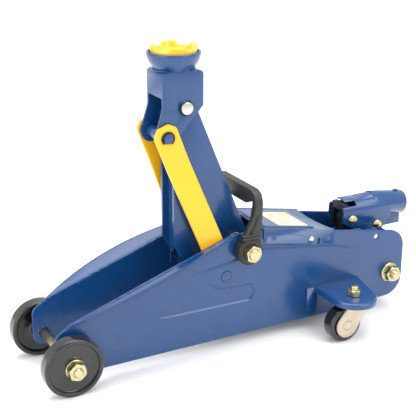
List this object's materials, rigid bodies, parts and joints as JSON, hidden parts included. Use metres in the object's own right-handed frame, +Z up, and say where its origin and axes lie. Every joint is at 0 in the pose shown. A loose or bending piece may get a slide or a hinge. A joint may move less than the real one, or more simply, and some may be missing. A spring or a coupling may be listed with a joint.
{
  "type": "trolley jack",
  "caption": "Low hydraulic trolley jack on wheels: a raised lift arm with a level round saddle, link bars, pump-handle socket and carrying bail.",
  "frame": {"origin": "on the floor, under the middle of the jack's box", "axes": "+Z up, +X to the rear where the handle goes in, -Y the jack's left side"},
  "size_m": [0.4708, 0.207, 0.33],
  "materials": {
    "blue_paint": "gloss enamel over pressed steel",
    "yellow_paint": "gloss enamel",
    "yellow_zinc": "yellow passivated zinc plate",
    "white_zinc": "bright zinc plate",
    "cream_zinc": "dull pale zinc plate",
    "black_steel": "black oxide",
    "machined_steel": "machined and oiled",
    "black_wheel": "moulded gloss",
    "black_plastic": "moulded satin",
    "black_rubber": "matt"
  },
  "bodies": {
    "frame": {"left_side_plate": "blue_paint", "right_side_plate": "blue_paint", "cover_plate": "blue_paint", "cover_screws": "white_zinc", "block_screws": "white_zinc", "front_axle": "yellow_zinc", "front_axle_spacers": "yellow_zinc", "front_axle_washers": "yellow_zinc", "front_axle_nuts": "yellow_zinc", "main_pivot_shaft": "yellow_zinc", "pivot_nuts": "yellow_zinc", "link_pivot_studs": "blue_paint", "link_stud_clips": "white_zinc", "rear_tie_bolt": "yellow_zinc", "rear_flange_nuts": "yellow_zinc", "pump_block": "blue_paint", "cylinder_tube": "machined_steel", "reservoir_tube": "machined_steel", "ram_gland": "machined_steel", "filler_plug": "black_rubber", "return_springs": "black_steel", "pump_barrel": "machined_steel", "socket_stand": "blue_paint", "left_caster_bracket": "blue_paint", "right_caster_bracket": "blue_paint", "caster_studs": "yellow_zinc", "caster_nuts": "yellow_zinc", "caster_washers": "yellow_zinc"},
    "arm": {"lift_arm": "blue_paint", "arm_bush": "machined_steel", "ear_pin": "white_zinc", "ear_roller": "machined_steel"},
    "saddle": {"saddle_bracket": "blue_paint", "link_tube": "blue_paint", "link_pin": "blue_paint", "link_clips": "white_zinc", "saddle_pin": "white_zinc", "saddle_pin_clips": "black_steel", "saddle_cup": "blue_paint", "saddle_pad": "yellow_paint"},
    "left_link": {"left_link_bar": "yellow_paint"},
    "right_link": {"right_link_bar": "yellow_paint"},
    "ram": {"ram_rod": "machined_steel", "ram_shoe": "machined_steel"},
    "socket": {"handle_socket": "blue_paint", "socket_pins": "yellow_zinc", "pump_lever": "black_steel", "socket_set_screw": "white_zinc"},
    "plunger": {"pump_plunger": "machined_steel"},
    "valve": {"release_valve": "white_zinc"},
    "left_front_wheel": {"left_front_wheel": "black_wheel"},
    "right_front_wheel": {"right_front_wheel": "black_wheel"},
    "left_caster": {"left_caster_fork": "cream_zinc", "left_caster_axle": "cream_zinc"},
    "right_caster": {"right_caster_fork": "cream_zinc", "right_caster_axle": "cream_zinc"},
    "left_caster_wheel": {"left_caster_wheel": "black_wheel"},
    "right_caster_wheel": {"right_caster_wheel": "black_wheel"},
    "bail": {"carry_handle": "black_plastic"}
  },
  "joints": [
    {"name": "arm_lift", "type": "hinge", "parent": "frame", "child": "arm", "pos_m": [-0.0012, 0, 0.1126], "axis": [0, 1, 0], "range_deg": [-83.7, 0]},
    {"name": "saddle_level", "type": "hinge", "parent": "arm", "child": "saddle", "pos_m": [-0.0617, 0, 0.2687], "axis": [0, 1, 0], "range_deg": [0, 83.7]},
    {"name": "left_link_swing", "type": "hinge", "parent": "frame", "child": "left_link", "pos_m": [-0.0236, -0.0308, 0.0847], "axis": [0, 1, 0], "range_deg": [-83.7, 0]},
    {"name": "right_link_swing", "type": "hinge", "parent": "frame", "child": "right_link", "pos_m": [-0.0236, 0.0308, 0.0847], "axis": [0, 1, 0], "range_deg": [-83.7, 0]},
    {"name": "ram_stroke", "type": "slide", "parent": "frame", "child": "ram", "axis": [1, 0, 0], "range_m": [0, 0.0672]},
    {"name": "socket_pump", "type": "hinge", "parent": "frame", "child": "socket", "pos_m": [0.1549, 0, 0.1104], "axis": [0, -1, 0], "range_deg": [0, 40]},
    {"name": "plunger_stroke", "type": "slide", "parent": "frame", "child": "plunger", "axis": [0, 0, 1], "range_m": [0, 0.0258]},
    {"name": "valve_turn", "type": "hinge", "parent": "frame", "child": "valve", "pos_m": [0.221, 0.013, 0.068], "axis": [1, 0, 0], "range_deg": [0, 180]},
    {"name": "left_front_roll", "type": "hinge", "parent": "frame", "child": "left_front_wheel", "pos_m": [-0.2044, -0.0495, 0.031], "axis": [0, 1, 0], "continuous": true},
    {"name": "right_front_roll", "type": "hinge", "parent": "frame", "child": "right_front_wheel", "pos_m": [-0.2044, 0.0495, 0.031], "axis": [0, 1, 0], "continuous": true},
    {"name": "left_caster_swivel", "type": "hinge", "parent": "frame", "child": "left_caster", "pos_m": [0.1146, -0.0775, 0.045], "axis": [0, 0, 1], "continuous": true},
    {"name": "right_caster_swivel", "type": "hinge", "parent": "frame", "child": "right_caster", "pos_m": [0.1146, 0.0775, 0.045], "axis": [0, 0, 1], "continuous": true},
    {"name": "left_caster_roll", "type": "hinge", "parent": "left_caster", "child": "left_caster_wheel", "pos_m": [0.1008, -0.0775, 0.02025], "axis": [0, 1, 0], "continuous": true},
    {"name": "right_caster_roll", "type": "hinge", "parent": "right_caster", "child": "right_caster_wheel", "pos_m": [0.1008, 0.0775, 0.02025], "axis": [0, 1, 0], "continuous": true},
    {"name": "bail_swing", "type": "hinge", "parent": "frame", "child": "bail", "pos_m": [-0.0012, 0, 0.1126], "axis": [0, 1, 0], "range_deg": [0, 55]}
  ],
  "couplings": [
    {"joint": "saddle_level", "follows": "arm_lift", "ratio": -1},
    {"joint": "left_link_swing", "follows": "arm_lift", "ratio": 1},
    {"joint": "right_link_swing", "follows": "arm_lift", "ratio": 1},
    {"joint": "ram_stroke", "follows": "arm_lift", "m_per_rad": -0.045796},
    {"joint": "plunger_stroke", "follows": "socket_pump", "m_per_rad": 0.0368}
  ]
}
